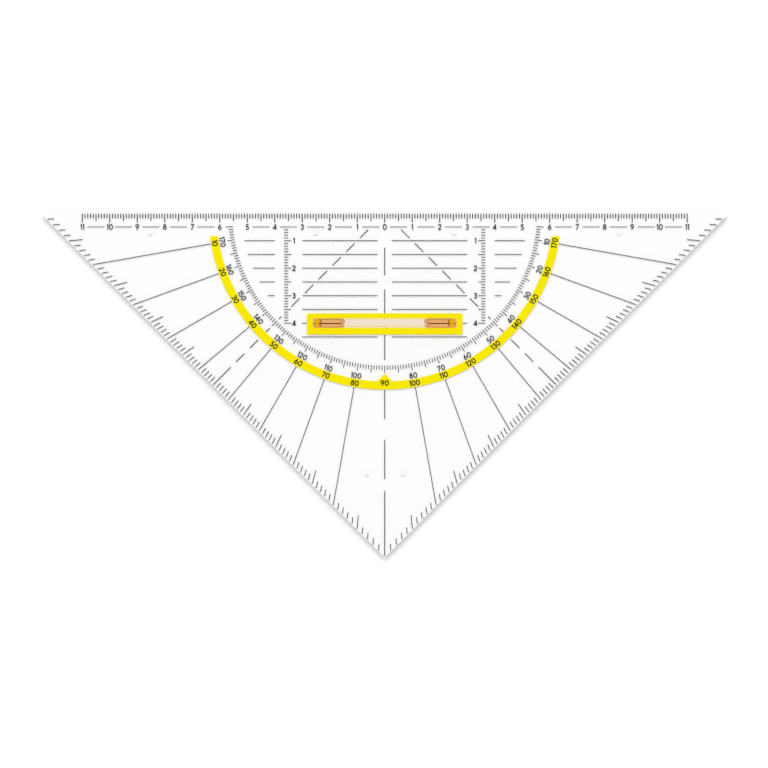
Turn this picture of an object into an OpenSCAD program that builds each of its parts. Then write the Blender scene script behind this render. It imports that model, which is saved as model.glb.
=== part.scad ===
// Protractor set square with a lift-out grip.
// The origin is the zero mark of the ruler, on the printed underside. +X runs along the ruler, +Y points out
// of the ruler edge and +Z out of the reading face. A depth is a distance from the ruler edge into the plate.

/* [Plate] */
// Length of the ruler edge, the long side of the triangle
ruler_edge_len = 250; // [220:1:320]
// Thickness of the clear plate
plate_t = 2; // [1.6:0.1:4]
// Radius of the three tips
tip_r = 0.5; // [0.3:0.1:1.5]
// Width of the small chamfer along the edges of the reading face
arris_w = 0.1; // [0.05:0.05:0.4]

/* [Ink nubs] */
// Diameter of each nub that keeps the print off wet ink
nub_d = 1.4; // [1:0.1:2.4]
// Height of each nub below the underside
nub_h = 0.4; // [0.2:0.05:0.8]
// Depth of the nubs along the ruler
nub_depth = 7.2; // [6.8:0.1:7.8]
// Distance of the outer nubs from the tips of the ruler edge
nub_tip_inset = 39.7; // [34:0.1:45]
// Distance of the inner nubs from the centre line
inner_nub_x = 25.2; // [22:0.1:28]
// Distance of the nubs at the right angle from the centre line
corner_nub_x = 6.5; // [4:0.1:9]
// Distance of the nubs at the right angle from that corner
corner_nub_rise = 30.3; // [20:0.1:40]

/* [Ink] */
// Thickness of the printed ink
ink_t = 0.05; // [0.02:0.01:0.1]
// Width of a ruler graduation
tick_w = 0.33; // [0.15:0.01:0.4]
// Width of a parallel line or a height tick
line_w = 0.25; // [0.15:0.01:0.4]
// Width of a guide dash between two ruler numerals
guide_dash_w = 0.22; // [0.1:0.01:0.4]
// Width of the diagonal dashes and the centre line
axis_w = 0.3; // [0.15:0.01:0.4]
// Width of a ray from the band to the edge ticks
ray_w = 0.26; // [0.15:0.01:0.4]
// Width of an edge tick
edge_tick_w = 0.28; // [0.15:0.01:0.3]
// Width of a tick of the degree ring
ring_tick_w = 0.25; // [0.12:0.01:0.3]
// Clearance between one printed layer and the next, or a slot
ink_gap = 0.1; // [0.05:0.01:0.3]
// Clearance that the lines and scales inside the degree ring keep from it
ring_clearance = 1; // [0.8:0.05:1.1]

/* [Ruler] */
// Distance that stays free between the last mark and the tip of the plate
ruler_end_margin = 14; // [12:1:24]
// Depth at which every graduation starts
tick_start = 0.2; // [0.1:0.05:0.5]
// Length of a millimetre graduation
mm_tick_len = 1.7; // [1:0.1:2]
// Length of a five millimetre graduation
half_cm_tick_len = 2.6; // [2.1:0.1:2.9]
// Length of a centimetre graduation
cm_tick_len = 3.2; // [3:0.1:3.5]
// Depth of the dashes, on the middle line of the numerals
numeral_depth = 5; // [4.6:0.1:5.3]
// Space that each dash leaves for the numeral before it
numeral_room = 1.9; // [1.4:0.1:2.6]
// Length of each dash between two numerals
guide_dash_len = 6.25; // [4:0.05:6.4]

/* [Parallel lines] */
// Distance from one parallel line to the next
line_pitch = 5; // [5, 10]
// Depth of the first parallel line
first_line_depth = 10; // [10, 20]
// Distance of the lines from the centre line
line_inner_x = 2.6; // [2:0.1:4]
// Distance of the outer ends of the lines from the centre line
line_outer_x = 30; // [28:0.1:31]
// Distance of the side pieces from the centre line
side_line_x = 40; // [38:0.1:41]
// Shortest side piece that is printed
side_line_min = 1; // [0.5:0.1:2]
// Space between the side pieces and the degree ring
side_line_gap = 3.4; // [2:0.1:4.4]

/* [Height scales] */
// Distance of the outer ends of the height ticks from the centre line
height_scale_x = 36.6; // [36:0.1:37.5]
// Depth of the first height tick
height_scale_start = 6; // [6:1:8]
// Length of a millimetre height tick
height_tick_len = 1.5; // [1:0.1:1.8]
// Length of a five millimetre height tick
long_height_tick_len = 2.6; // [2:0.1:2.8]

/* [Degree ring] */
// Radius at which the degree ticks start
ring_r = 55.4; // [55:0.1:57]
// Length of a one degree tick
ring_tick_len = 1.6; // [1:0.1:2]
// Length of a five degree tick
long_ring_tick_len = 2.7; // [2.1:0.1:2.9]
// First degree on the ring, from the ruler edge
ring_first_deg = 5; // [5:1:10]

/* [Degree band] */
// Distance between the long degree ticks and the yellow band, which holds the inner numerals
numeral_ring_w = 3.1; // [2.9:0.1:4]
// Width of the yellow band
band_w = 3; // [2.6:0.1:4]
// Depth at which the band ends
band_end_depth = 8.4; // [7.8:0.1:10]
// Width of the pointer at 90 degrees, where it leaves the band
pointer_w = 5.6; // [3:0.1:7]
// Height of the pointer above the band
pointer_h = 2.6; // [1.5:0.1:2.8]
// Width of the pointer's blunt tip
pointer_tip_w = 0.6; // [0.3:0.1:1]

/* [Angle lines and edge ticks] */
// Angle from one ray to the next
ray_step_deg = 10; // [5, 10, 15]
// Space between the edge of the plate and the edge ticks
edge_gap = 0.2; // [0.2:0.05:1]
// Length of a one degree edge tick
edge_tick_len = 2.4; // [1.5:0.1:3]
// Length of a five degree edge tick
long_edge_tick_len = 4.9; // [3.5:0.1:5.5]
// Space that the diagonal dashes leave on each side of a parallel line
diagonal_gap = 0.95; // [0.6:0.05:1.3]

/* [Centre line] */
// Depth at which the centre line starts
centre_line_start = 12.5; // [11:0.1:14]
// Depth of the middle of its first gap
centre_gap_depth = 25.15; // [24:0.05:27]
// Length of its first gap
centre_gap_len = 5.1; // [3:0.1:6]
// Space between the centre line and the degree ring
centre_ring_gap = 2; // [1:0.1:3]
// Depth of the middle of the upper bare panel
upper_panel_depth = 78.6; // [76:0.1:82]
// Height of the upper bare panel
upper_panel_h = 7.6; // [5:0.1:9]
// Depth of the middle of the lower bare panel
lower_panel_depth = 98.9; // [94:0.1:104]
// Height of the lower bare panel
lower_panel_h = 4.4; // [3:0.1:8]

/* [Grip] */
// Overall length of the grip
grip_len = 51.5; // [46:0.5:53]
// Height of the grip above the plate
grip_h = 12; // [9:0.5:16]
// Thickness of the grip above the plate
grip_t = 3.4; // [3:0.1:4]
// Radius of the upright edges of the grip
grip_corner_r = 0.4; // [0.2:0.1:0.8]
// Distance of the grip below the line of the last height tick
grip_drop = 0.3; // [0:0.05:0.3]
// Height of the rail that the fingers hold
rail_h = 3; // [2.4:0.1:4]
// Radius of the grip's outer shoulders
shoulder_r = 1.4; // [0.8:0.1:4]
// Radius of the grip's two long upper edges
crown_r = 0.7; // [0.3:0.1:1.4]
// Radius of the window's upper corners
window_r = 2; // [1:0.1:3]
// How far each side of the window leans outwards over its height
window_draft = 1; // [0.2:0.1:1.5]
// Length of each foot
foot_len = 8; // [6:0.5:9]
// Thickness of each foot, which is narrower than the grip above it
foot_t = 2.4; // [2:0.1:2.8]
// Length of the ledge that rests on the plate outside each foot
ledge_len = 2.6; // [2:0.1:4]
// Height of the lead-in chamfer at the end of each foot
foot_lead = 0.4; // [0.2:0.1:0.6]
// Width of the slit that parts each foot into two spring prongs
slit_w = 0.4; // [0.3:0.05:0.7]
// Height of the slit above the plate
slit_rise = 4; // [2:0.5:5.5]
// Radius of the corners of the feet and of their slots
foot_corner_r = 0.4; // [0.2:0.1:0.8]

/* [Fits] */
// Clearance between a foot and each long side of its slot
foot_side_clearance = 0.05; // [0.03:0.01:0.1]
// Clearance between a foot and each end of its slot
foot_end_clearance = 0.1; // [0.05:0.01:0.3]
// Distance that the feet stay above the underside
foot_recess = 0.2; // [0.1:0.05:0.6]

/* [Grip surround] */
// Width of the yellow frame beyond each end of the grip
surround_end_w = 2.55; // [1.6:0.05:2.6]
// Width of the yellow frame along each long side of its opening
surround_side_w = 2.5; // [1.8:0.1:2.8]
// Radius of the frame's outer corners
surround_r = 0.6; // [0.2:0.1:1]

/* [Hidden] */

$fn = 96;
cut = 1;
sides = [-1, 1];

clear_plastic = [0.92, 0.94, 0.96, 0.35];
tinted_plastic = [0.96, 0.66, 0.36, 0.6];
black_ink = [0.1, 0.09, 0.1];
yellow_ink = [0.97, 0.91, 0.03];

// The legs of the triangle meet the ruler edge at 45 degrees, so its height is half its length
half_edge = ruler_edge_len / 2;
leg_distance = half_edge * cos(45);
mm = 1;
half_cm = 5 * mm;
cm = 10 * mm;
ruler_half_cm = floor((half_edge - ruler_end_margin) / cm);

ring_outer_r = ring_r + long_ring_tick_len;
band_inner_r = ring_outer_r + numeral_ring_w;
band_outer_r = band_inner_r + band_w;

// The height scales and the parallel lines go as deep as the ring leaves room for
inner_r = ring_r - ring_clearance;
height_scale_end = half_cm * floor(sqrt(inner_r ^ 2 - height_scale_x ^ 2) / half_cm);
first_line = round(first_line_depth / line_pitch);
last_line = floor(sqrt(inner_r ^ 2 - line_outer_x ^ 2) / line_pitch);

grip_depth = height_scale_end + grip_drop;
grip_half = grip_len / 2;
foot_outer_x = grip_half - ledge_len;
foot_inner_x = foot_outer_x - foot_len;
foot_mid_x = (foot_outer_x + foot_inner_x) / 2;
window_h = grip_h - rail_h;
slot_len = foot_len + 2 * foot_end_clearance;
slot_w = foot_t + 2 * foot_side_clearance;
surround_half_len = grip_half + surround_end_w;
surround_hole = [2 * (foot_outer_x + foot_end_clearance + ink_gap), slot_w + 2 * ink_gap];
surround_half_w = surround_hole.y / 2 + surround_side_w;

// Centres of the three tip arcs, and the outward direction of the edge before each one
tip_centres = [
    [half_edge - tip_r * (1 + sqrt(2)), -tip_r],
    [0, tip_r * sqrt(2) - half_edge],
    [tip_r * (1 + sqrt(2)) - half_edge, -tip_r],
];
edge_normals = [[0, 1], [cos(45), -sin(45)], [-cos(45), -sin(45)]];

// Distance along a ray from the zero mark to the leg of the triangle that it meets
function edge_r(deg) = leg_distance / cos(45 - abs(90 - deg));

// Outline of the plate: straight edges between three round tips
module plate_outline() {
    polygon([
        for (i = [0:2])
            for (n = [edge_normals[i], edge_normals[(i + 1) % 3]])
                tip_centres[i] + tip_r * n,
    ]);
    for (c = tip_centres) translate(c) circle(tip_r);
}

// Rectangle about its centre, with round corners
module rounded_rect(size, r) {
    square([size.x - 2 * r, size.y], center = true);
    square([size.x, size.y - 2 * r], center = true);
    for (x = sides, y = sides)
        translate([x * (size.x / 2 - r), y * (size.y / 2 - r)]) circle(r);
}

// Wedge that chamfers one edge of the reading face. The edge lies along X, and the plate is on its -Y side
module arris_cut() {
    rotate([90, 0, 90])
        linear_extrude(2 * ruler_edge_len, center = true)
            polygon([[-arris_w, cut], [-arris_w, 0], [0, -arris_w], [cut, -arris_w], [cut, cut]]);
}

module nubs() {
    outer_nub_x = half_edge - nub_tip_inset;
    places = [
        [outer_nub_x, nub_depth],
        [inner_nub_x, nub_depth],
        [corner_nub_x, half_edge - corner_nub_rise],
    ];
    for (p = places, s = sides)
        translate([s * p.x, -p.y, -nub_h]) cylinder(h = nub_h + plate_t / 2, d = nub_d);
}

module plate() {
    color(clear_plastic) {
        difference() {
            linear_extrude(plate_t) plate_outline();
            for (s = sides)
                translate([s * foot_mid_x, -grip_depth, -cut])
                    linear_extrude(plate_t + 2 * cut)
                        rounded_rect([slot_len, slot_w], foot_corner_r);
            translate([0, 0, plate_t]) arris_cut();
            for (s = sides)
                rotate(s * 135) translate([0, leg_distance, plate_t]) arris_cut();
        }
        nubs();
    }
}

// Upright rectangle on height 0, with both its upper corners rounded. It is the side view of the grip's
// bridge, and at another width its end view
module round_topped(width, height, r) {
    translate([-width / 2, 0]) square([width, height - r]);
    translate([r - width / 2, 0]) square([width - 2 * r, height]);
    for (s = sides) translate([s * (width / 2 - r), height - r]) circle(r);
}

// Opening for the fingers: its sides lean outwards, and an arc joins each to the underside of the rail
module window_outline() {
    lean = atan(window_draft / window_h);
    arc_z = window_h - window_r;
    side_x = foot_inner_x + window_draft * arc_z / window_h;
    arc_x = side_x - window_r / cos(lean);
    tangent = [arc_x + window_r * cos(lean), arc_z - window_r * sin(lean)];
    for (s = sides) {
        polygon([
            [0, -cut],
            [s * foot_inner_x, -cut],
            [s * foot_inner_x, 0],
            [s * tangent.x, tangent.y],
            [s * arc_x, arc_z],
            [s * arc_x, window_h],
            [0, window_h],
        ]);
        translate([s * arc_x, arc_z]) circle(window_r);
    }
}

// Block of the grip above the plate. Its plan, its side view and its end view each shape it, so the crowned
// upper edges run out in a crease on the shoulders
module bridge() {
    intersection() {
        linear_extrude(grip_h) rounded_rect([grip_len, grip_t], grip_corner_r);
        rotate([90, 0, 0])
            linear_extrude(2 * grip_t, center = true) round_topped(grip_len, grip_h, shoulder_r);
        rotate([90, 0, 90])
            linear_extrude(2 * grip_len, center = true) round_topped(grip_t, grip_h, crown_r);
    }
}

// One foot, hanging below the plate's reading face, with its ends tapered to lead it into the slot
module foot() {
    foot_h = plate_t - foot_recess;
    intersection() {
        translate([0, 0, -foot_h])
            linear_extrude(foot_h + cut) rounded_rect([foot_len, foot_t], foot_corner_r);
        rotate([90, 0, 0])
            linear_extrude(foot_t, center = true)
                polygon([
                    [-foot_len / 2, cut],
                    [-foot_len / 2, foot_lead - foot_h],
                    [foot_lead - foot_len / 2, -foot_h],
                    [foot_len / 2 - foot_lead, -foot_h],
                    [foot_len / 2, foot_lead - foot_h],
                    [foot_len / 2, cut],
                ]);
    }
}

module handle() {
    slit = [foot_len + 2 * slit_w, slit_w, plate_t + slit_rise];
    color(tinted_plastic)
        translate([0, -grip_depth, plate_t])
            difference() {
                union() {
                    bridge();
                    for (s = sides) translate([s * foot_mid_x, 0, 0]) foot();
                }
                rotate([90, 0, 0]) linear_extrude(2 * grip_t, center = true) window_outline();
                for (s = sides)
                    translate([s * foot_mid_x - slit.x / 2, -slit_w / 2, -plate_t]) cube(slit);
            }
}

// Ink on the underside of the plate, given as its flat outline
module print(ink) {
    color(ink) translate([0, 0, -ink_t]) linear_extrude(ink_t) children();
}

// Printed line along the ruler direction, at one depth
module level_line(depth, from, to, w) {
    translate([min(from, to), -depth - w / 2]) square([abs(to - from), w]);
}

// Printed line on a ray from the zero mark. The angle counts clockwise from +X, as the plate is read
module ray_line(deg, from, to, w) {
    rotate(-deg) translate([from, -w / 2]) square([to - from, w]);
}

function ruler_tick_len(i) = i % 10 == 0 ? cm_tick_len : i % 5 == 0 ? half_cm_tick_len : mm_tick_len;

module ruler_graduations() {
    last = ruler_half_cm * cm / mm;
    print(black_ink)
        for (i = [-last:last]) {
            len = ruler_tick_len(i);
            translate([i * mm - tick_w / 2, -tick_start - len]) square([tick_w, len]);
        }
}

// A dash follows each numeral, apart from where the degree ring ends beside the ruler
module ruler_guide_dashes() {
    print(black_ink)
        for (s = sides, i = [0:ruler_half_cm - 1]) {
            from = i * cm + numeral_room;
            if (from > ring_outer_r || from + guide_dash_len < ring_r)
                level_line(numeral_depth, s * from, s * (from + guide_dash_len), guide_dash_w);
        }
}

// Leaves out what would run into the frame round the grip
module clear_of_surround() {
    difference() {
        children();
        translate([0, -grip_depth])
            square([2 * (surround_half_len + ink_gap), 2 * (surround_half_w + ink_gap)], center = true);
    }
}

// Each line has a long piece beside the centre line and, near the ruler, a side piece beside the height scale
module parallel_lines() {
    side_line_r = ring_r - side_line_gap;
    print(black_ink)
        clear_of_surround()
            for (s = sides, i = [first_line:last_line]) {
                depth = i * line_pitch;
                side_end_x = sqrt(side_line_r ^ 2 - depth ^ 2);
                level_line(depth, s * line_inner_x, s * line_outer_x, line_w);
                if (side_end_x > side_line_x + side_line_min)
                    level_line(depth, s * side_line_x, s * side_end_x, line_w);
            }
}

module height_scale(side) {
    print(black_ink)
        for (i = [ceil(height_scale_start / mm):height_scale_end / mm]) {
            len = i % 5 == 0 ? long_height_tick_len : height_tick_len;
            level_line(i * mm, side * (height_scale_x - len), side * height_scale_x, line_w);
        }
}

module left_height_scale() {
    height_scale(-1);
}

module right_height_scale() {
    height_scale(1);
}

module degree_ring() {
    print(black_ink)
        for (deg = [ring_first_deg:180 - ring_first_deg]) {
            len = deg % 5 == 0 ? long_ring_tick_len : ring_tick_len;
            ray_line(deg, ring_r, ring_r + len, ring_tick_w);
        }
}

// Ticks along one leg. A dashed diagonal already marks its middle
module edge_degree_ticks(first_deg) {
    print(black_ink)
        for (deg = [first_deg + 1:first_deg + 89]) {
            outer_r = edge_r(deg) - edge_gap;
            len = deg % 5 == 0 ? long_edge_tick_len : edge_tick_len;
            if (deg % 45 != 0) ray_line(deg, outer_r - len, outer_r, edge_tick_w);
        }
}

module right_edge_degree_ticks() {
    edge_degree_ticks(0);
}

module left_edge_degree_ticks() {
    edge_degree_ticks(90);
}

// Each ray leads from the band to the long edge tick of its degree
module angle_rays() {
    edge_room = edge_gap + long_edge_tick_len + ink_gap;
    print(black_ink)
        for (deg = [ray_step_deg:ray_step_deg:180 - ray_step_deg])
            if (deg % 45 != 0) ray_line(deg, band_outer_r + ink_gap, edge_r(deg) - edge_room, ray_w);
}

// Line on a ray that leaves gaps, each given as the stretch from one radius to the next
module broken_ray_line(deg, from, to, gaps) {
    difference() {
        ray_line(deg, from, to, axis_w);
        for (g = gaps) ray_line(deg, g[0], g[1], 2 * axis_w);
    }
}

// Dashes between the parallel lines, broken again at the height scale, the ring and the band
module diagonal_dashes() {
    pitch_r = line_pitch * sqrt(2);
    gap_r = diagonal_gap * sqrt(2);
    end_r = leg_distance - edge_gap;
    line_gaps = [
        for (i = [1:floor(end_r / pitch_r) - 1]) [i * pitch_r - gap_r, i * pitch_r + gap_r],
    ];
    scale_gaps = [
        [(height_scale_x - long_height_tick_len) * sqrt(2), height_scale_x * sqrt(2) + gap_r],
        [ring_r - diagonal_gap, ring_outer_r + diagonal_gap],
        [band_inner_r - ink_gap, band_outer_r + ink_gap],
    ];
    print(black_ink)
        clear_of_surround()
            for (deg = [45, 135]) broken_ray_line(deg, pitch_r, end_r, concat(line_gaps, scale_gaps));
}

// The two bare panels are the widest gaps
module centre_line() {
    end_r = half_edge - tip_r * (sqrt(2) - 1) - edge_gap;
    gaps = [
        [centre_gap_depth - centre_gap_len / 2, centre_gap_depth + centre_gap_len / 2],
        [ring_r - centre_ring_gap, band_outer_r + ink_gap],
        [upper_panel_depth - upper_panel_h / 2, upper_panel_depth + upper_panel_h / 2],
        [lower_panel_depth - lower_panel_h / 2, lower_panel_depth + lower_panel_h / 2],
    ];
    print(black_ink) clear_of_surround() broken_ray_line(90, centre_line_start, end_r, gaps);
}

// Band between two circles, cut off level at both ends. Its inner circle spares a pointer to the ring at
// 90 degrees
module degree_band() {
    print(yellow_ink)
        difference() {
            circle(band_outer_r);
            difference() {
                circle(band_inner_r);
                polygon([
                    [-pointer_w / 2, -band_outer_r],
                    [-pointer_w / 2, -band_inner_r],
                    [-pointer_tip_w / 2, pointer_h - band_inner_r],
                    [pointer_tip_w / 2, pointer_h - band_inner_r],
                    [pointer_w / 2, -band_inner_r],
                    [pointer_w / 2, -band_outer_r],
                ]);
            }
            translate([-ruler_edge_len, -band_end_depth]) square([2 * ruler_edge_len, ruler_edge_len]);
        }
}

// Frame whose bare opening holds both slots and the stretch under the rail
module grip_surround() {
    print(yellow_ink)
        translate([0, -grip_depth])
            difference() {
                rounded_rect([2 * surround_half_len, 2 * surround_half_w], surround_r);
                square(surround_hole, center = true);
            }
}

plate();
handle();
ruler_graduations();
ruler_guide_dashes();
parallel_lines();
left_height_scale();
right_height_scale();
degree_ring();
left_edge_degree_ticks();
right_edge_degree_ticks();
angle_rays();
diagonal_dashes();
centre_line();
degree_band();
grip_surround();
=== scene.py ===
"""Looks of a protractor set square with a lift-out grip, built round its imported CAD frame.

The reading face of the plate points up. Every length below is in millimetres, in the frame of the CAD
model: the origin is the zero mark of the ruler on the printed underside, +X runs along the ruler and a depth
is a distance from the ruler edge into the plate, towards -Y. Scales of textures are per metre.
"""

import logging
import math
from dataclasses import dataclass
from enum import Enum

import bmesh
import bpy
from mathutils import Matrix, Vector
from mathutils.geometry import delaunay_2d_cdt


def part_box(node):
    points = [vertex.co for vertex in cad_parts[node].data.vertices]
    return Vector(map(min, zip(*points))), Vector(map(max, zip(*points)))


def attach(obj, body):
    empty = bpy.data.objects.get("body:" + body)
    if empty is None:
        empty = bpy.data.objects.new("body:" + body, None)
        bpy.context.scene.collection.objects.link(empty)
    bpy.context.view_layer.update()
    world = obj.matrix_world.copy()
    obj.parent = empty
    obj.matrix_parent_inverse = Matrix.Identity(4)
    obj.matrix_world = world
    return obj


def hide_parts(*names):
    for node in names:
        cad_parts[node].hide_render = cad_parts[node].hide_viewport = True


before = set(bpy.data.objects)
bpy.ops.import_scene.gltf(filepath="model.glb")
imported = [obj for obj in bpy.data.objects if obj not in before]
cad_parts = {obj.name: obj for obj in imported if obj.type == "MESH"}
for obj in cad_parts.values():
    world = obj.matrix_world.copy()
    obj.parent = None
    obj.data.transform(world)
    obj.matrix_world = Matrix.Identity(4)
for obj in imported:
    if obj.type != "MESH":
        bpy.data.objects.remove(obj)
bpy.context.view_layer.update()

LOG = logging.getLogger("set_square")
MM = 0.001

Colour = tuple[float, float, float]
Place = tuple[float, float, float]
Point = tuple[float, float]
Span = tuple[float, float]
Socket = bpy.types.NodeSocket

FULL: Span = (0.0, 1.0)
RIGHT_ANGLE = 90
HALF_TURN = 180


class Body(Enum):
    """The two bodies that the grip's slide joins."""

    SET_SQUARE = "set_square"
    GRIP = "grip"


class Slot(Enum):
    """The material slots of the record."""

    CLEAR = "clear_plastic"
    TINTED = "tinted_plastic"
    BLACK = "black_ink"
    YELLOW = "yellow_ink"


def rgba(colour: Colour) -> tuple[float, float, float, float]:
    """Returns the colour with full opacity."""
    return (*colour, 1.0)


class ShaderTree:
    """Adds and links the nodes of a material or of a shader node group."""

    def __init__(self, tree: bpy.types.NodeTree) -> None:
        """Wraps a node tree.

        Args:
            tree: The tree that the nodes go into.
        """
        self.tree = tree

    def add(self, kind: str, **settings: object) -> bpy.types.Node:
        """Adds a node.

        Args:
            kind: The node's type, without its "ShaderNode" beginning.
            **settings: Values for the node's own properties.

        Returns:
            The new node.
        """
        node = self.tree.nodes.new("ShaderNode" + kind)
        for name, value in settings.items():
            setattr(node, name, value)
        return node

    def link(self, source: Socket, target: Socket) -> None:
        """Joins an output to an input."""
        self.tree.links.new(source, target)

    def math(self, operation: str, first: object, second: object = None) -> Socket:
        """Adds a Math node.

        Args:
            operation: The node's operation.
            first: A socket or a number.
            second: A socket or a number, or None for an operation on one value.

        Returns:
            The node's output.
        """
        node = self.add("Math", operation=operation)
        for socket, value in zip(node.inputs, (first, second)):
            self.feed(socket, value)
        return node.outputs["Value"]

    def feed(self, socket: Socket, value: object) -> None:
        """Gives an input a link, a value, or nothing.

        Args:
            socket: The input.
            value: An output socket to link, a plain value to set, or None to leave it.
        """
        if isinstance(value, Socket):
            self.link(value, socket)
        elif value is not None:
            socket.default_value = value

    def noise(self, vector: Socket, scale: float, detail: float = 2.0) -> Socket:
        """Adds a Noise Texture.

        Args:
            vector: The socket with its coordinates.
            scale: Its scale.
            detail: Its number of finer layers.

        Returns:
            Its factor output.
        """
        node = self.add("TexNoise")
        self.link(vector, node.inputs["Vector"])
        node.inputs["Scale"].default_value = scale
        node.inputs["Detail"].default_value = detail
        return node.outputs["Fac"]

    def span(self, value: Socket, source: Span, target: Span) -> Socket:
        """Maps a value from one range to another, clamped.

        Args:
            value: The socket to map.
            source: The range that it has.
            target: The range that it gets.

        Returns:
            The mapped output.
        """
        node = self.add("MapRange")
        for socket, number in zip(node.inputs, (value, *source, *target)):
            self.feed(socket, number)
        return node.outputs["Result"]

    def tint(self, factor: Socket, first: object, second: Colour) -> Socket:
        """Mixes two colours.

        Args:
            factor: The socket that says how much of the second shows.
            first: The colour at 0, or its socket.
            second: The colour at 1.

        Returns:
            The mixed colour's output.
        """
        node = self.add("Mix", data_type="RGBA")
        self.link(factor, node.inputs["Factor"])
        colours = [socket for socket in node.inputs if socket.type == "RGBA"]
        self.feed(colours[0], first if isinstance(first, Socket) else rgba(first))
        self.feed(colours[1], rgba(second))
        return next(s for s in node.outputs if s.type == "RGBA")

    def inside(self, place: Socket, low: Vector, high: Vector) -> Socket:
        """Marks what lies inside an upright box.

        Args:
            place: The socket with the coordinates.
            low: The box's lowest corner, in metres.
            high: The box's highest corner, in metres.

        Returns:
            1 inside the box and 0 outside.
        """
        split = self.add("SeparateXYZ")
        self.link(place, split.inputs["Vector"])
        result = None
        for axis, least, most in zip(split.outputs, low, high):
            off = self.math("ABSOLUTE", self.math("SUBTRACT", axis, (least + most) / 2))
            near = self.math("LESS_THAN", off, (most - least) / 2)
            result = near if result is None else self.math("MULTIPLY", result, near)
        return result

    def level_faces(self, limit: float = 0.5) -> Socket:
        """Marks the faces that lie level.

        Args:
            limit: How far a face's normal has to point up or down.

        Returns:
            1 on level faces and 0 on upright ones.
        """
        split = self.add("SeparateXYZ")
        self.link(self.add("NewGeometry").outputs["True Normal"], split.inputs["Vector"])
        return self.math("GREATER_THAN", self.math("ABSOLUTE", split.outputs["Z"]), limit)

    def opposite(self, mask: Socket) -> Socket:
        """Returns the mask of everything that a mask leaves."""
        return self.math("SUBTRACT", 1.0, mask)


class EffectGroup:
    """A shader node group that several materials share, with named inputs and outputs."""

    def __init__(self, name: str, inputs: dict[str, float], outputs: tuple[str, ...]) -> None:
        """Makes the empty group.

        Args:
            name: The group's name.
            inputs: The start value of each float input.
            outputs: The names of the float outputs.
        """
        self.group = bpy.data.node_groups.new(name, "ShaderNodeTree")
        sockets = self.group.interface
        for label, value in inputs.items():
            sockets.new_socket(label, in_out="INPUT", socket_type="NodeSocketFloat").default_value = value
        for label in outputs:
            sockets.new_socket(label, in_out="OUTPUT", socket_type="NodeSocketFloat")
        self.tree = ShaderTree(self.group)
        self.inputs = self.group.nodes.new("NodeGroupInput").outputs
        self.outputs = self.group.nodes.new("NodeGroupOutput").inputs

    def place(self, tree: ShaderTree, **values: float) -> bpy.types.NodeOutputs:
        """Places the group in a material.

        Args:
            tree: The material's tree.
            **values: The material's own input values.

        Returns:
            The outputs of the placed group.
        """
        node = tree.add("Group", node_tree=self.group)
        for label, value in values.items():
            node.inputs[label].default_value = value
        return node.outputs


@dataclass(frozen=True)
class HairlineScratches:
    """Fine straight scratches that cross, and a faint haze, as a ruler gets in use."""

    turns: tuple[float, float] = (0.5, -0.85)
    stretches: tuple[float, float] = (90.0, 70.0)
    grain_scale: float = 60.0
    grain_detail: float = 1.0
    grain_cut: Span = (0.74, 0.8)
    haze_scale: float = 35.0
    haze_detail: float = 4.0

    def build(self) -> EffectGroup:
        """Builds the group.

        Returns:
            The group, with the outputs Mask and Height.
        """
        effect = EffectGroup("hairline_scratches", {"Density": 0.3, "Haze": 0.5}, ("Mask", "Height"))
        tree = effect.tree
        place = tree.add("TexCoord").outputs["Object"]
        lines = []
        for turn, stretch in zip(self.turns, self.stretches):
            mapping = tree.add("Mapping")
            tree.link(place, mapping.inputs["Vector"])
            mapping.inputs["Rotation"].default_value = (0.0, 0.0, turn)
            mapping.inputs["Scale"].default_value = (1.0, stretch, 1.0)
            grain = tree.noise(mapping.outputs["Vector"], self.grain_scale, self.grain_detail)
            lines.append(tree.span(grain, self.grain_cut, FULL))
        scratches = tree.math("MULTIPLY", tree.math("MAXIMUM", *lines), effect.inputs["Density"])
        cloud = tree.noise(place, self.haze_scale, self.haze_detail)
        haze = tree.math("MULTIPLY", cloud, effect.inputs["Haze"])
        tree.link(tree.math("ADD", scratches, haze), effect.outputs["Mask"])
        tree.link(scratches, effect.outputs["Height"])
        return effect


@dataclass(frozen=True)
class InkFilm:
    """Uneven cover of a thin film of screen ink."""

    broad_scale: float = 120.0
    broad_detail: float = 3.0
    broad_share: float = 0.6
    fine_scale: float = 2600.0
    fine_detail: float = 2.0
    fine_share: float = 0.4

    def build(self) -> EffectGroup:
        """Builds the group.

        Returns:
            The group, with the outputs Cover and Height.
        """
        effect = EffectGroup("ink_film", {"Unevenness": 0.3}, ("Cover", "Height"))
        tree = effect.tree
        place = tree.add("TexCoord").outputs["Object"]
        broad = tree.noise(place, self.broad_scale, self.broad_detail)
        fine = tree.noise(place, self.fine_scale, self.fine_detail)
        shares = ((broad, self.broad_share), (fine, self.fine_share))
        mixed = tree.math("ADD", *(tree.math("MULTIPLY", grain, share) for grain, share in shares))
        tree.link(tree.math("MULTIPLY", mixed, effect.inputs["Unevenness"]), effect.outputs["Cover"])
        tree.link(fine, effect.outputs["Height"])
        return effect


@dataclass(frozen=True)
class Relief:
    """How deep a texture is cut: the strength of its bump, and the real size of its full height."""

    strength: float
    depth: float


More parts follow.
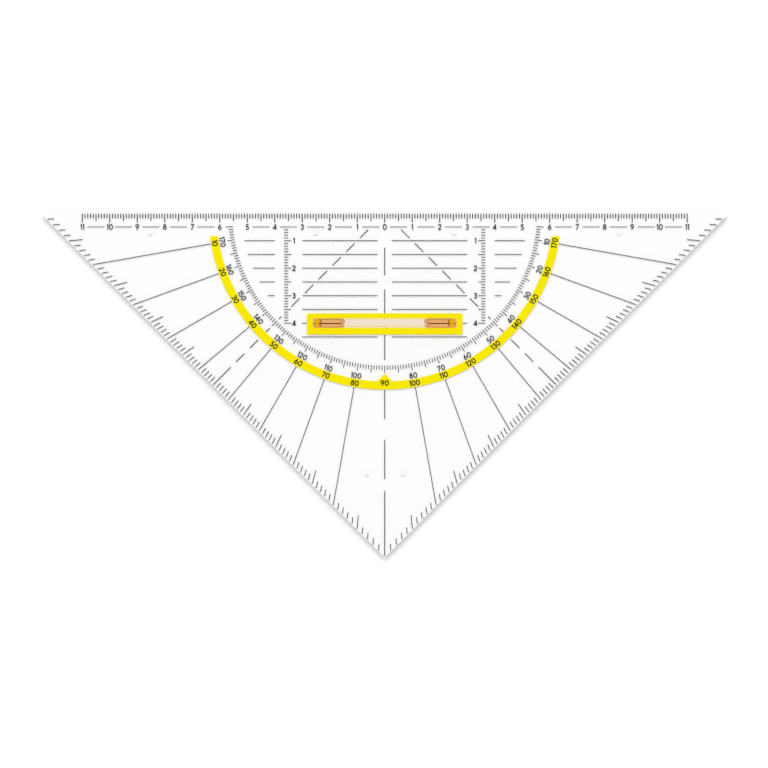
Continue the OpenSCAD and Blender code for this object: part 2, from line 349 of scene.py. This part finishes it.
class Finish:
    """A finish of the object. Each one builds its own material."""

    name: str

    def new_tree(self) -> tuple[bpy.types.Material, ShaderTree, bpy.types.Node, bpy.types.Node]:
        """Starts a material with a Principled shader.

        Returns:
            The material, its tree, its Principled node and its output node.
        """
        material = bpy.data.materials.new(self.name)
        material.use_nodes = True
        material.node_tree.nodes.clear()
        tree = ShaderTree(material.node_tree)
        shader = tree.add("BsdfPrincipled")
        output = tree.add("OutputMaterial")
        return material, tree, shader, output

    def bump(self, tree: ShaderTree, shader: bpy.types.Node, height: Socket, relief: Relief) -> None:
        """Feeds a Bump node into a shader's normal.

        Args:
            tree: The material's tree.
            shader: The Principled node.
            height: The socket with the height.
            relief: How deep it is cut.
        """
        node = tree.add("Bump")
        node.inputs["Strength"].default_value = relief.strength
        node.inputs["Distance"].default_value = relief.depth * MM
        tree.link(height, node.inputs["Height"])
        tree.link(node.outputs["Normal"], shader.inputs["Normal"])


@dataclass(frozen=True)
class Moulding(Finish):
    """Clear plastic that comes polished out of its mould, with flow marks and hairline scratches."""

    pale: Colour
    flow_tone: Colour
    flow_scale: float
    scratch_density: float
    haze: float
    roughness: Span
    edge_tone: Colour
    ior: float = 1.49
    relief: Relief = Relief(0.05, 0.004)
    piped_turns: float = 2.5

    def polish(
        self, tree: ShaderTree, shader: bpy.types.Node, place: Socket, scratches: EffectGroup
    ) -> Socket:
        """Makes the shader clear and polished.

        Args:
            tree: The material's tree.
            shader: The Principled node.
            place: The socket with the coordinates.
            scratches: The group of the hairline scratches.

        Returns:
            The socket with the plastic's tone, which changes along its flow.
        """
        wear = scratches.place(tree, Density=self.scratch_density, Haze=self.haze)
        tree.link(tree.span(wear["Mask"], FULL, self.roughness), shader.inputs["Roughness"])
        shader.inputs["IOR"].default_value = self.ior
        shader.inputs["Transmission Weight"].default_value = 1.0
        self.bump(tree, shader, wear["Height"], self.relief)
        return tree.tint(tree.noise(place, self.flow_scale), self.pale, self.flow_tone)

    def let_lamps_through(self, tree: ShaderTree, surface: Socket, shade: object) -> Socket:
        """Lets light from the lamps pass a clear moulding, so that what it covers is lit.

        Args:
            tree: The material's tree.
            surface: The output of the moulding's own shader.
            shade: The socket or colour by which each face dims that light.

        Returns:
            The output of the shader that both kinds of ray find.
        """
        path = tree.add("LightPath")
        for ray in ("Is Shadow Ray", "Is Diffuse Ray"):
            surface = self.pass_straight(tree, surface, path.outputs[ray], shade)
        return surface

    def pass_straight(self, tree: ShaderTree, surface: Socket, chosen: Socket, shade: object) -> Socket:
        """Lets chosen rays pass straight through a moulding.

        Args:
            tree: The material's tree.
            surface: The shader's output for the other rays.
            chosen: The socket that is 1 for the chosen rays.
            shade: The socket or colour by which a face dims them.

        Returns:
            The output of the shader that both kinds of ray find.
        """
        clear = tree.add("BsdfTransparent")
        tree.feed(clear.inputs["Color"], shade)
        mix = tree.add("MixShader")
        tree.link(chosen, mix.inputs["Fac"])
        tree.link(surface, mix.inputs[1])
        tree.link(clear.outputs["BSDF"], mix.inputs[2])
        return mix.outputs["Shader"]

    def lead_out(self, tree: ShaderTree, surface: Socket) -> Socket:
        """Lets light out that has run along inside a moulding for a few turns, with the tone of the edge.

        The renderer would lose that light soon after and leave the walls black.

        Args:
            tree: The material's tree.
            surface: The output of the moulding's own shader.

        Returns:
            The output of the shader that both kinds of ray find.
        """
        depth = tree.add("LightPath").outputs["Glossy Depth"]
        piped = tree.math("GREATER_THAN", depth, self.piped_turns)
        return self.pass_straight(tree, surface, piped, rgba(self.edge_tone))


@dataclass(frozen=True)
class ClearMoulding(Moulding):
    """The plate's clear polystyrene."""

    name: str = "clear_plastic_finish"
    pale: Colour = (1.0, 1.0, 1.0)
    flow_tone: Colour = (0.985, 0.99, 0.995)
    flow_scale: float = 9.0
    scratch_density: float = 0.25
    haze: float = 0.02
    roughness: Span = (0.004, 0.2)
    edge_tone: Colour = (0.75, 0.79, 0.79)
    face_light: Colour = (0.99, 0.99, 0.99)
    wall_light: Colour = (0.03, 0.03, 0.03)
    slot_reach: float = 3.0

    def build(self, scratches: EffectGroup) -> bpy.types.Material:
        """Builds the material.

        Args:
            scratches: The group of the hairline scratches.

        Returns:
            The material.
        """
        material, tree, shader, output = self.new_tree()
        place = tree.add("TexCoord").outputs["Object"]
        tree.link(self.polish(tree, shader, place, scratches), shader.inputs["Base Color"])
        surface = self.lead_out(tree, shader.outputs["BSDF"])
        surface = self.let_lamps_through(tree, surface, self.wall_shade(tree, place))
        tree.link(surface, output.inputs["Surface"])
        return material

    def wall_shade(self, tree: ShaderTree, place: Socket) -> Socket:
        """Dims the lamps where they would leave by an outer wall, which mirrors that light back inside.

        The walls of the slots pass their light on to the feet, so they stay clear.

        Args:
            tree: The material's tree.
            place: The socket with the coordinates.

        Returns:
            The colour of the light that passes.
        """
        outside = tree.opposite(tree.add("NewGeometry").outputs["Backfacing"])
        low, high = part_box("grip_surround")
        margin = Vector((0.0, 0.0, self.slot_reach * MM))
        slots = tree.inside(place, low - margin, high + margin)
        outer = tree.math("MULTIPLY", outside, tree.opposite(slots))
        wall = tree.math("MULTIPLY", tree.opposite(tree.level_faces()), outer)
        return tree.tint(wall, self.face_light, self.wall_light)


@dataclass(frozen=True)
class TintedMoulding(Moulding):
    """The grip's clear orange plastic, which gets deeper in colour where it is thicker."""

    name: str = "tinted_plastic_finish"
    pale: Colour = (1.0, 1.0, 0.995)
    flow_tone: Colour = (1.0, 0.99, 0.98)
    flow_scale: float = 60.0
    scratch_density: float = 0.3
    haze: float = 0.06
    roughness: Span = (0.02, 0.25)
    edge_tone: Colour = (0.9, 0.72, 0.5)
    depth_colour: Colour = (0.935, 0.56, 0.1)
    depth_density: float = 128.0
    face_light: Colour = (0.99, 0.975, 0.93)
    # Painted shade: a near-black base colour on the slit tops stands in for the shade inside the narrow slits
    slit_shade: Colour = (0.02, 0.012, 0.008)
    slit_half: float = 0.22
    slit_top: float = 6.05
    slit_reach: float = 23.65

    def build(self, scratches: EffectGroup) -> bpy.types.Material:
        """Builds the material.

        Args:
            scratches: The group of the hairline scratches.

        Returns:
            The material.
        """
        material, tree, shader, output = self.new_tree()
        place = tree.add("TexCoord").outputs["Object"]
        tone = self.polish(tree, shader, place, scratches)
        # The slit tops get the painted shade colour over the plastic's own tone
        tree.link(tree.tint(self.slits(tree, place), tone, self.slit_shade), shader.inputs["Base Color"])
        volume = tree.add("VolumeAbsorption")
        volume.inputs["Color"].default_value = rgba(self.depth_colour)
        volume.inputs["Density"].default_value = self.depth_density
        tree.link(volume.outputs["Volume"], output.inputs["Volume"])
        surface = self.lead_out(tree, shader.outputs["BSDF"])
        surface = self.let_lamps_through(tree, surface, rgba(self.face_light))
        tree.link(surface, output.inputs["Surface"])
        return material

    def slits(self, tree: ShaderTree, place: Socket) -> Socket:
        """Marks the tops of the two narrow slits, which get a painted shade so that they look dark from
        above.

        Args:
            tree: The material's tree.
            place: The socket with the coordinates.

        Returns:
            The mask of the slit tops, where the shade is painted.
        """
        low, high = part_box("handle")
        middle = (low.y + high.y) / 2
        half = Vector((self.slit_reach, self.slit_half, self.slit_top)) * MM
        centre = Vector((0.0, middle, 0.0))
        return tree.math("MULTIPLY", tree.level_faces(), tree.inside(place, centre - half, centre + half))


@dataclass(frozen=True)
class PrintedInk(Finish):
    """Screen ink on the underside of the plate."""

    name: str
    full: Colour
    thin: Colour
    unevenness: float = 0.5
    grain_cut: Span = (0.3, 0.7)
    roughness: Span = (0.35, 0.5)
    shine: float = 0.02
    relief: Relief = Relief(0.1, 0.002)

    def build(self, film: EffectGroup) -> bpy.types.Material:
        """Builds the material.

        Args:
            film: The group of the uneven ink film.

        Returns:
            The material.
        """
        material, tree, shader, output = self.new_tree()
        ink = film.place(tree, Unevenness=self.unevenness)
        tree.link(tree.tint(ink["Cover"], self.full, self.thin), shader.inputs["Base Color"])
        tree.link(tree.span(ink["Height"], self.grain_cut, self.roughness), shader.inputs["Roughness"])
        shader.inputs["Specular IOR Level"].default_value = self.shine
        self.bump(tree, shader, ink["Height"], self.relief)
        tree.link(shader.outputs["BSDF"], output.inputs["Surface"])
        return material


BLACK_INK = PrintedInk("black_ink_finish", full=(0.012, 0.011, 0.012), thin=(0.03, 0.028, 0.03))
YELLOW_INK = PrintedInk("yellow_ink_finish", full=(0.92, 0.79, 0.0), thin=(0.95, 0.82, 0.002))


@dataclass(frozen=True)
class StudioPaper(Finish):
    """White sweep under the object. It shows as plain white and keeps the object's shadow."""

    name: str = "studio_paper"
    tone: Colour = (0.8, 0.8, 0.8)
    glow: float = 0.23

    def build(self) -> bpy.types.Material:
        """Builds the material.

        Returns:
            The material.
        """
        material, tree, shader, output = self.new_tree()
        shader.inputs["Base Color"].default_value = rgba(self.tone)
        shader.inputs["Roughness"].default_value = 1.0
        shader.inputs["Specular IOR Level"].default_value = 0.0
        path = tree.add("LightPath")
        seen = tree.math("MAXIMUM", path.outputs["Is Camera Ray"], path.outputs["Is Glossy Ray"])
        seen = tree.math("MAXIMUM", seen, path.outputs["Is Transmission Ray"])
        glow = tree.add("Emission")
        tree.link(tree.math("MULTIPLY", seen, self.glow), glow.inputs["Strength"])
        both = tree.add("AddShader")
        tree.link(shader.outputs["BSDF"], both.inputs[0])
        tree.link(glow.outputs["Emission"], both.inputs[1])
        tree.link(both.outputs["Shader"], output.inputs["Surface"])
        return material


@dataclass
class Materials:
    """The finished materials, built once."""

    def __post_init__(self) -> None:
        """Builds the shared effects and then each material."""
        scratches = HairlineScratches().build()
        film = InkFilm().build()
        self.by_slot = {
            Slot.CLEAR: ClearMoulding().build(scratches),
            Slot.TINTED: TintedMoulding().build(scratches),
            Slot.BLACK: BLACK_INK.build(film),
            Slot.YELLOW: YELLOW_INK.build(film),
        }

    def dress(self, piece: bpy.types.Object, slot: Slot) -> None:
        """Gives a piece the material of its slot.

        Args:
            piece: The piece or CAD node.
            slot: The slot that it takes its finish from.
        """
        if piece.material_slots:
            piece.material_slots[0].material = self.by_slot[slot]
        else:
            piece.data.materials.append(self.by_slot[slot])


def add_object(name: str, data: bpy.types.ID) -> bpy.types.Object:
    """Puts an object into the scene.

    Args:
        name: The object's name.
        data: Its mesh, lamp or camera.

    Returns:
        The object.
    """
    made = bpy.data.objects.new(name, data)
    bpy.context.scene.collection.objects.link(made)
    return made


def add_piece(name: str, shape: bmesh.types.BMesh) -> bpy.types.Object:
    """Makes an object from a shape, and frees the shape.

    Args:
        name: The object's name.
        shape: Its shape, in metres.

    Returns:
        The object.
    """
    mesh = bpy.data.meshes.new(name)
    shape.to_mesh(mesh)
    shape.free()
    return add_object(name, mesh)


@dataclass(frozen=True)
class Arc:
    """Part of an ellipse that the pen follows. Its angles are in degrees, from +X and counterclockwise."""

    centre: Point
    radii: Point
    start: float
    end: float
    step: float = 15.0

    def points(self) -> list[Vector]:
        """Returns the points of the arc, from its start to its end."""
        count = max(2, round(abs(self.end - self.start) / self.step))
        turn = (self.end - self.start) / count
        angles = [math.radians(self.start + turn * i) for i in range(count + 1)]
        (x, y), (wide, high) = self.centre, self.radii
        return [Vector((x + wide * math.cos(a), y + high * math.sin(a))) for a in angles]


def ring(centre: Point, radii: Point) -> tuple[Arc]:
    """Returns the stroke of a whole ellipse."""
    return (Arc(centre, radii, 0.0, 360.0),)


# The pen's path for each digit, in parts of the digit's height. The first number is the digit's width
DIGITS: dict[str, tuple[float, tuple[tuple[object, ...], ...]]] = {
    "0": (0.7, (ring((0.35, 0.5), (0.28, 0.43)),)),
    "1": (0.29, (((0.03, 0.77), (0.22, 0.93), (0.22, 0.0)),)),
    "2": (0.62, ((Arc((0.3, 0.69), (0.23, 0.24), 175.0, -35.0), (0.09, 0.07), (0.6, 0.07)),)),
    "3": (0.58, (
        (Arc((0.28, 0.735), (0.2, 0.195), 155.0, -90.0), (0.2, 0.54)),
        (Arc((0.28, 0.305), (0.22, 0.235), 90.0, -160.0),),
    )),
    "4": (0.7, (((0.5, 0.93), (0.1, 0.27), (0.69, 0.27)), ((0.5, 1.0), (0.5, 0.0)))),
    "5": (0.6, (
        ((0.55, 0.93), (0.2, 0.93), (0.13, 0.53), Arc((0.28, 0.315), (0.245, 0.245), 115.0, -150.0)),
    )),
    "6": (0.64, (ring((0.32, 0.31), (0.25, 0.24)), ((0.42, 0.99), (0.1, 0.43)))),
    "7": (0.6, (((0.02, 0.93), (0.54, 0.93), (0.17, 0.0)),)),
    "8": (0.62, (ring((0.31, 0.735), (0.19, 0.195)), ring((0.31, 0.3), (0.24, 0.23)))),
    "9": (0.64, (ring((0.32, 0.69), (0.25, 0.24)), ((0.22, 0.01), (0.54, 0.57)))),
}


@dataclass
class DigitPress:
    """Cuts flat digits of one pen width and sets them into numerals. The pen is in parts of their height."""

    pen: float
    gap: float = 0.11
    mitre_limit: float = 2.2
    weld: float = 1e-4
    triangles_inside: int = 1

    def __post_init__(self) -> None:
        """Makes the store of the digits that are already cut."""
        self.cut: dict[str, tuple[list[Vector], list[list[int]]]] = {}

    def path(self, stroke: tuple[object, ...]) -> list[Vector]:
        """Joins the corners and arcs of a stroke.

        Args:
            stroke: Points and arcs, in the pen's order.

        Returns:
            The points of the whole path.
        """
        points: list[Vector] = []
        for step in stroke:
            points += step.points() if isinstance(step, Arc) else [Vector(step)]
        return points

    def ribbon(self, points: list[Vector]) -> list[list[Vector]]:
        """Lays a strip of pen width along a path, with mitred corners.

        Args:
            points: The path. It is closed if it ends where it starts.

        Returns:
            The four corners of each piece of the strip.
        """
        closed = (points[0] - points[-1]).length < self.weld
        rows = points[:-1] if closed else points
        last = len(rows) - 1
        edges = []
        for i, here in enumerate(rows):
            before = rows[i - 1] if closed or i > 0 else here
            after = rows[(i + 1) % len(rows)] if closed or i < last else here
            ways = [w.normalized() for w in (here - before, after - here) if w.length > self.weld]
            sides = [Vector((-w.y, w.x)) for w in ways]
            middle = (sides[0] + sides[-1]).normalized()
            reach = min(self.mitre_limit, 1 / max(middle.dot(sides[0]), self.weld))
            offset = middle * (self.pen / 2 * reach)
            edges.append((here + offset, here - offset))
        pairs = list(zip(edges, edges[1:] + edges[:1] if closed else edges[1:]))
        return [[a[1], b[1], b[0], a[0]] for a, b in pairs]

    def digit(self, mark: str) -> tuple[list[Vector], list[list[int]]]:
        """Cuts one digit out of its strokes.

        Args:
            mark: The digit.

        Returns:
            The corners and the triangles of its flat shape.
        """
        if mark not in self.cut:
            quads = [q for stroke in DIGITS[mark][1] for q in self.ribbon(self.path(stroke))]
            corners = [c for q in quads for c in q]
            faces = [list(range(4 * i, 4 * i + 4)) for i in range(len(quads))]
            made = delaunay_2d_cdt(corners, [], faces, self.triangles_inside, self.weld)
            spots, _, triangles, _, _, sources = made
            inside = [triangle for triangle, source in zip(triangles, sources) if source]
            self.cut[mark] = (spots, inside)
        return self.cut[mark]

    def numeral(self, text: str) -> tuple[list[Vector], list[list[int]]]:
        """Sets the digits of a number side by side, about the middle of the number.

        Args:
            text: The number.

        Returns:
            The corners and the triangles of its flat shape, for a height of 1.
        """
        widths = [DIGITS[mark][0] for mark in text]
        left = -(sum(widths) + self.gap * (len(text) - 1)) / 2
        corners: list[Vector] = []
        faces: list[list[int]] = []
        for mark, width in zip(text, widths):
            shape, triangles = self.digit(mark)
            faces += [[len(corners) + i for i in t] for t in triangles]
            corners += [Vector((c.x + left, c.y - 0.5)) for c in shape]
            left += width + self.gap
        return corners, faces


@dataclass(frozen=True)
class Placing:
    """Where one numeral stands: its text, its middle and the turn of its foot line in degrees."""

    text: str
    middle: Point
    turn: float = 0.0


@dataclass
class NumeralLayer:
    """A printed layer of numerals. It reaches a little into the plate, so that it lies over the other ink."""

    name: str
    height: float
    pen: float = 0.165
    top: float = 0.012
    bottom: float = -0.045

    def placings(self) -> list[Placing]:
        """Returns where the numerals stand."""
        raise NotImplementedError

    def build(self, materials: Materials) -> bpy.types.Object:
        """Builds the layer as one mesh and prints it on the plate.

        Args:
            materials: The finished materials.

        Returns:
            The layer.
        """
        press = DigitPress(self.pen)
        shape = bmesh.new()
        placings = self.placings()
        for placing in placings:
            corners, faces = press.numeral(placing.text)
            turn = Matrix.Rotation(math.radians(placing.turn), 2)
            flat = [turn @ (c * self.height) + Vector(placing.middle) for c in corners]
            self.add_solid(shape, flat, faces)
        bmesh.ops.recalc_face_normals(shape, faces=shape.faces)
        piece = add_piece(self.name, shape)
        materials.dress(piece, Slot.BLACK)
        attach(piece, Body.SET_SQUARE.value)
        LOG.info("%s: %d numerals, %d faces", self.name, len(placings), len(piece.data.polygons))
        return piece

    def add_solid(self, shape: bmesh.types.BMesh, flat: list[Vector], faces: list[list[int]]) -> None:
        """Adds a flat shape with its thickness.

        Args:
            shape: The mesh that it goes into.
            flat: The corners of the flat shape, in millimetres.
            faces: Its triangles.
        """
        low, high = (
            [shape.verts.new((c.x * MM, c.y * MM, z * MM)) for c in flat]
            for z in (self.bottom, self.top)
        )
        sides = dict.fromkeys(side for face in faces for side in zip(face, face[1:] + face[:1]))
        for face in faces:
            shape.faces.new([high[i] for i in face])
            shape.faces.new([low[i] for i in reversed(face)])
        # A side that no second triangle shares lies on the outline and gets a wall
        for a, b in sides:
            if (b, a) not in sides:
                shape.faces.new([low[a], low[b], high[b], high[a]])


@dataclass
class RulerNumerals(NumeralLayer):
    """Centimetres from the zero mark, both ways along the ruler."""

    name: str = "ruler_numerals"
    height: float = 2.05
    depth: float = 5.0
    last: int = 11
    pitch: float = 10.0

    def placings(self) -> list[Placing]:
        """Returns where the numerals stand."""
        return [
            Placing(str(abs(i)), (i * self.pitch, -self.depth))
            for i in range(-self.last, self.last + 1)
        ]


@dataclass
class HeightNumerals(NumeralLayer):
    """Centimetres of depth beside one height scale."""

    side: int = -1
    height: float = 2.0
    pen: float = 0.185
    across: float = 33.0
    last: int = 4
    pitch: float = 10.0

    def placings(self) -> list[Placing]:
        """Returns where the numerals stand."""
        across = self.side * self.across
        return [Placing(str(i), (across, -i * self.pitch)) for i in range(1, self.last + 1)]


class DegreeRow(Enum):
    """The two rows of degrees, which count opposite ways."""

    INNER = "inner"
    OUTER = "outer"


@dataclass
class DegreeNumerals(NumeralLayer):
    """Degrees round the zero mark, with their heads towards it."""

    row: DegreeRow = DegreeRow.INNER
    height: float = 2.0
    radius: float = 59.9
    step: int = 10
    pointer_radius: float = 61.8

    def placings(self) -> list[Placing]:
        """Returns where the numerals stand. The right angle is printed once, at the pointer."""
        placings = []
        for degree in range(self.step, HALF_TURN, self.step):
            square = degree == RIGHT_ANGLE
            if square and self.row is DegreeRow.INNER:
                continue
            radius = self.pointer_radius if square else self.radius
            angle = math.radians(degree)
            text = str(degree if self.row is DegreeRow.INNER else HALF_TURN - degree)
            middle = (radius * math.cos(angle), -radius * math.sin(angle))
            placings.append(Placing(text, middle, RIGHT_ANGLE - degree))
        return placings


@dataclass(frozen=True)
class PressedLayer:
    """One printed layer, set a little way into the plate, so that no air lies between ink and plastic."""

    node: str
    slot: Slot
    seat: float = 0.006
    weld: float = 0.0005

    def build(self, materials: Materials) -> bpy.types.Object:
        """Builds the layer from the outline of its CAD layer.

        Args:
            materials: The finished materials.

        Returns:
            The layer.
        """
        shape = bmesh.new()
        shape.from_mesh(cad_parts[self.node].data)
        bmesh.ops.remove_doubles(shape, verts=shape.verts, dist=self.weld * MM)
        low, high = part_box(self.node)
        for corner in shape.verts:
            if corner.co.z > (low.z + high.z) / 2:
                corner.co.z = self.seat * MM
        piece = add_piece(self.node + "_print", shape)
        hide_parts(self.node)
        materials.dress(piece, self.slot)
        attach(piece, Body.SET_SQUARE.value)
        LOG.info("%s: %s, %d faces", piece.name, self.slot.value, len(piece.data.polygons))
        return piece


@dataclass
class Print:
    """Everything printed on the underside of the plate."""

    black: tuple[str, ...] = (
        "ruler_graduations",
        "ruler_guide_dashes",
        "parallel_lines",
        "left_height_scale",
        "right_height_scale",
        "degree_ring",
        "left_edge_degree_ticks",
        "right_edge_degree_ticks",
        "angle_rays",
        "diagonal_dashes",
        "centre_line",
    )
    yellow: tuple[str, ...] = ("degree_band", "grip_surround")

    def build(self, materials: Materials) -> None:
        """Prints the lines, the yellow areas and the numerals.

        Args:
            materials: The finished materials.
        """
        for names, slot in ((self.black, Slot.BLACK), (self.yellow, Slot.YELLOW)):
            for name in names:
                PressedLayer(name, slot).build(materials)
        layers = (
            RulerNumerals(),
            HeightNumerals(name="left_height_numerals", side=-1),
            HeightNumerals(name="right_height_numerals", side=1),
            DegreeNumerals(name="inner_degree_numerals", row=DegreeRow.INNER),
            DegreeNumerals(name="outer_degree_numerals", row=DegreeRow.OUTER, radius=62.7, pen=0.21),
        )
        for layer in layers:
            layer.build(materials)


@dataclass
class Plate:
    """The clear plate."""

    node: str = "plate"

    def dress(self, materials: Materials) -> None:
        """Gives the plate its clear plastic.

        Args:
            materials: The finished materials.
        """
        materials.dress(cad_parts[self.node], Slot.CLEAR)
        LOG.info("%s: %s", self.node, Slot.CLEAR.value)


@dataclass
class Grip:
    """The tinted grip. It stands for the CAD handle, with its edges rounded as they leave the mould."""

    node: str = "handle"
    name: str = "grip_moulding"
    edge_round: float = 0.12
    edge_steps: int = 2
    edge_profile: float = 0.5
    sharp_angle: float = 30.0
    flat_angle: float = 0.5
    weld: float = 0.0005
    rest_gap: float = 0.02

    def build(self, materials: Materials) -> bpy.types.Object:
        """Builds the rounded moulding from the CAD handle's own shape.

        Args:
            materials: The finished materials.

        Returns:
            The grip.
        """
        shape = bmesh.new()
        shape.from_mesh(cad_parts[self.node].data)
        bmesh.ops.remove_doubles(shape, verts=shape.verts, dist=self.weld * MM)
        bmesh.ops.dissolve_limit(
            shape,
            angle_limit=math.radians(self.flat_angle),
            verts=shape.verts,
            edges=shape.edges,
            delimit={"NORMAL"},
        )
        turn = math.radians(self.sharp_angle)
        sharp = [e for e in shape.edges if e.is_manifold and e.calc_face_angle() > turn]
        bmesh.ops.bevel(
            shape,
            geom=sharp,
            offset=self.edge_round * MM,
            offset_type="OFFSET",
            segments=self.edge_steps,
            profile=self.edge_profile,
            affect="EDGES",
            clamp_overlap=True,
        )
        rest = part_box("plate")[1].z
        for corner in shape.verts:
            if abs(corner.co.z - rest) < self.weld * MM:
                corner.co.z += self.rest_gap * MM
        for face in shape.faces:
            face.smooth = True
        piece = add_piece(self.name, shape)
        piece.data.set_sharp_from_angle(angle=turn)
        # Its lenses spread the lamp's light so widely that the print beside it stays bright
        piece.visible_shadow = False
        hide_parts(self.node)
        materials.dress(piece, Slot.TINTED)
        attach(piece, Body.GRIP.value)
        LOG.info("%s: %d faces", self.name, len(piece.data.polygons))
        return piece


@dataclass
class Studio:
    """The camera, the paper sweep and the soft light. The camera looks straight down, as in the photo."""

    view_middle: Point = (-0.25, -62.15)
    view_width: float = 279.5
    view_reach: Span = (10.0, 20000.0)
    camera_height: float = 900.0
    floor_half: float = 3000.0
    sensor: float = 36.0
    key_place: Place = (-500.0, 4900.0, 6300.0)
    key_aim: Place = (0.0, -50.0, 0.0)
    key_size: float = 6800.0
    key_power: float = 590.0
    sky_level: float = 1.02
    sky_horizon: float = 0.5
    sky_top: float = 0.35
    sky_hole: float = 0.07
    sky_haze: float = 0.3
    sky_rim: Span = (0.95, 0.99)

    def build(self) -> None:
        """Sets up the whole studio."""
        self.build_camera()
        self.build_floor()
        self.build_lamp()
        self.build_world()
        bpy.context.scene.view_settings.view_transform = "Standard"
        LOG.info("studio: camera, paper, lamp and surroundings")

    def build_camera(self) -> None:
        """Places the camera straight above the plate."""
        data = bpy.data.cameras.new("photo_camera")
        data.sensor_width = self.sensor
        data.lens = self.sensor * self.camera_height / self.view_width
        data.clip_start, data.clip_end = (reach * MM for reach in self.view_reach)
        camera = add_object("photo_camera", data)
        camera.location = [length * MM for length in (*self.view_middle, self.camera_height)]
        bpy.context.scene.camera = camera

    def build_floor(self) -> None:
        """Lays the paper under the nubs of the plate."""
        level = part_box("plate")[0].z
        half = self.floor_half * MM
        mesh = bpy.data.meshes.new("paper_sweep")
        corners = [(-half, -half, level), (half, -half, level), (half, half, level), (-half, half, level)]
        mesh.from_pydata(corners, [], [(0, 1, 2, 3)])
        floor = add_object("paper_sweep", mesh)
        mesh.materials.append(StudioPaper().build())

    def build_lamp(self) -> None:
        """Hangs the key light beyond the ruler edge, a little to the left."""
        data = bpy.data.lights.new("key_softbox", "AREA")
        data.shape = "SQUARE"
        data.size = self.key_size * MM
        data.energy = self.key_power
        lamp = add_object("key_softbox", data)
        lamp.location = Vector(self.key_place) * MM
        aim = Vector(self.key_aim) * MM - lamp.location
        lamp.rotation_mode = "QUATERNION"
        lamp.rotation_quaternion = aim.to_track_quat("-Z", "Y")
        # Its mirror image would hide the print from the front
        lamp.visible_glossy = False
        lamp.visible_transmission = False

    def build_world(self) -> None:
        """Surrounds the object with white that falls off upwards and leaves the camera's own place dark."""
        world = bpy.data.worlds.new("studio_surroundings")
        world.use_nodes = True
        world.node_tree.nodes.clear()
        tree = ShaderTree(world.node_tree)
        split = tree.add("SeparateXYZ")
        tree.link(tree.add("TexCoord").outputs["Generated"], split.inputs["Vector"])
        rise = split.outputs["Z"]
        low = tree.span(rise, (0.0, self.sky_haze), (self.sky_horizon, 1.0))
        sky = tree.span(rise, (self.sky_haze, self.sky_rim[0]), (1.0, self.sky_top))
        hole = tree.span(rise, self.sky_rim, (1.0, self.sky_hole))
        shape = tree.math("MULTIPLY", tree.math("MULTIPLY", low, sky), hole)
        level = tree.math("MULTIPLY", shape, self.sky_level)
        background = tree.add("Background")
        tree.link(level, background.inputs["Strength"])
        output = tree.add("OutputWorld")
        tree.link(background.outputs["Background"], output.inputs["Surface"])
        bpy.context.scene.world = world


def main() -> None:
    """Builds the object and the studio."""
    logging.basicConfig(level=logging.INFO, format="%(name)s: %(message)s")
    materials = Materials()
    Plate().dress(materials)
    Grip().build(materials)
    Print().build(materials)
    Studio().build()


if __name__ == "__main__":
    main()
